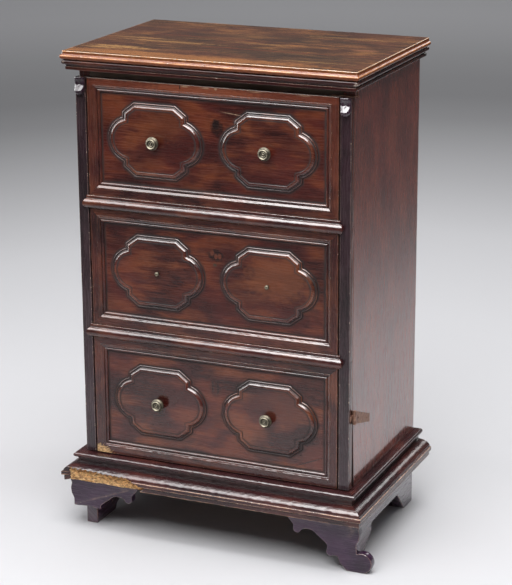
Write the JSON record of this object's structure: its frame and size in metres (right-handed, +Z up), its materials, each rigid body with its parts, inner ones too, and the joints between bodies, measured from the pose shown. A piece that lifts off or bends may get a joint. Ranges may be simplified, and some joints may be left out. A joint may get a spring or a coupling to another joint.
{
  "type": "side cabinet",
  "caption": "Upright walnut side cabinet on scroll-cut bracket feet, with moulded top and base and one hinged door dressed as drawers with shaped cartouches and knobs.",
  "frame": {"origin": "on the floor, under the centre of the bounding box", "axes": "+Z up, -Y to the front where the door is, +X to the side where the door hangs"},
  "size_m": [0.584, 0.3692, 0.861],
  "materials": {
    "walnut": "old polished varnish, worn at the arrises",
    "walnut_dark": "dark stained, worn polish",
    "walnut_top": "polished, streaked figure",
    "inner_wood": "plain unpolished wood",
    "brass": "dull tarnish",
    "iron": "rusted wrought iron"
  },
  "bodies": {
    "carcass": {"cornice_front": "walnut", "cornice_left": "walnut", "cornice_right": "walnut", "side_left": "walnut", "side_right": "walnut", "base_bead_front": "walnut", "base_bead_left": "walnut", "base_bead_right": "walnut", "plinth_front": "walnut", "plinth_left": "walnut", "plinth_right": "walnut", "front_bracket_left": "walnut_dark", "front_bracket_right": "walnut_dark", "side_bracket_left": "walnut_dark", "side_bracket_right": "walnut_dark", "rear_foot_block_left": "walnut_dark", "rear_foot_block_right": "walnut_dark", "top_board": "walnut_top", "bottom_board": "inner_wood", "top_rail": "inner_wood", "back_board_lower": "inner_wood", "back_board_middle": "inner_wood", "back_board_upper": "inner_wood", "shelf": "inner_wood", "shelf_cleat_left": "inner_wood", "shelf_cleat_right": "inner_wood", "plinth_back": "inner_wood", "hinge_strap": "iron", "hinge_pin": "iron", "hinge_nail_front": "iron", "hinge_nail_rear": "iron", "pivot_pin": "iron"},
    "door": {"door_plank_bottom": "walnut", "door_plank_middle": "walnut", "door_plank_top": "walnut", "drawer_frame_bottom": "walnut", "drawer_frame_middle": "walnut", "drawer_frame_top": "walnut", "cartouche_bottom_left": "walnut", "cartouche_bottom_right": "walnut", "cartouche_middle_left": "walnut", "cartouche_middle_right": "walnut", "cartouche_top_left": "walnut", "cartouche_top_right": "walnut", "divider_lower": "walnut", "divider_upper": "walnut", "door_stile_left": "walnut_dark", "door_stile_right": "walnut_dark", "corbel_left": "walnut_dark", "corbel_right": "walnut_dark", "door_batten_left": "inner_wood", "door_batten_right": "inner_wood", "knob_bottom_left": "brass", "knob_bottom_right": "brass", "knob_top_left": "brass", "knob_top_right": "brass", "knob_stub_left": "brass", "knob_stub_right": "brass", "hinge_leaf": "iron", "pivot_plate": "iron"}
  },
  "joints": [
    {"name": "door_hinge", "type": "hinge", "parent": "carcass", "child": "door", "pos_m": [0.247, -0.13445, 0.268], "axis": [0, 0, 1], "range_deg": [0, 170]}
  ]
}
